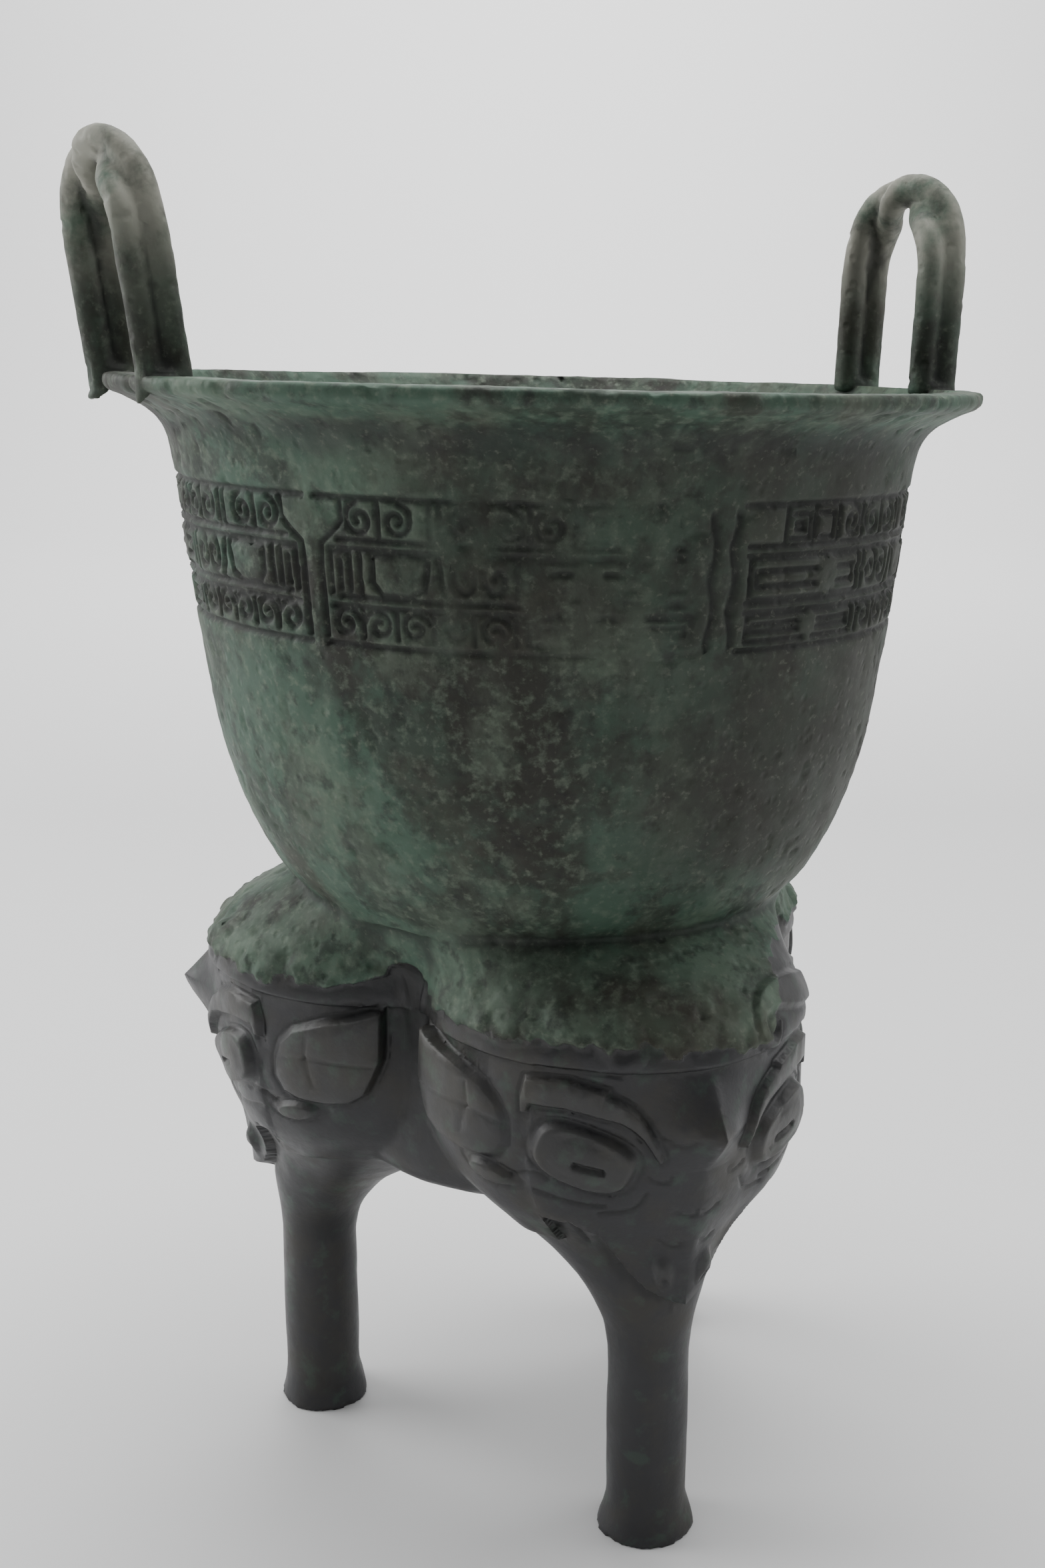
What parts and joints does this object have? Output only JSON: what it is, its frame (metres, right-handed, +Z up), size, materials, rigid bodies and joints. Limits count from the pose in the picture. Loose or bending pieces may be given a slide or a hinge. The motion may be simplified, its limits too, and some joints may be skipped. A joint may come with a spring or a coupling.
{
  "type": "bronze yan steamer",
  "caption": "Ancient cast bronze yan: a deep steaming bowl with twisted upright handles over a lobed, mask-carved boiler on column legs.",
  "frame": {"origin": "on the floor under the bowl axis", "axes": "+Z up the bowl axis, one leg on -Y"},
  "size_m": [0.2675, 0.26, 0.4171],
  "materials": {
    "bronze": "old cast bronze with mottled green and brown-black patina, worn matt"
  },
  "bodies": {
    "root": {"yan_vessel": "bronze"}
  },
  "joints": []
}
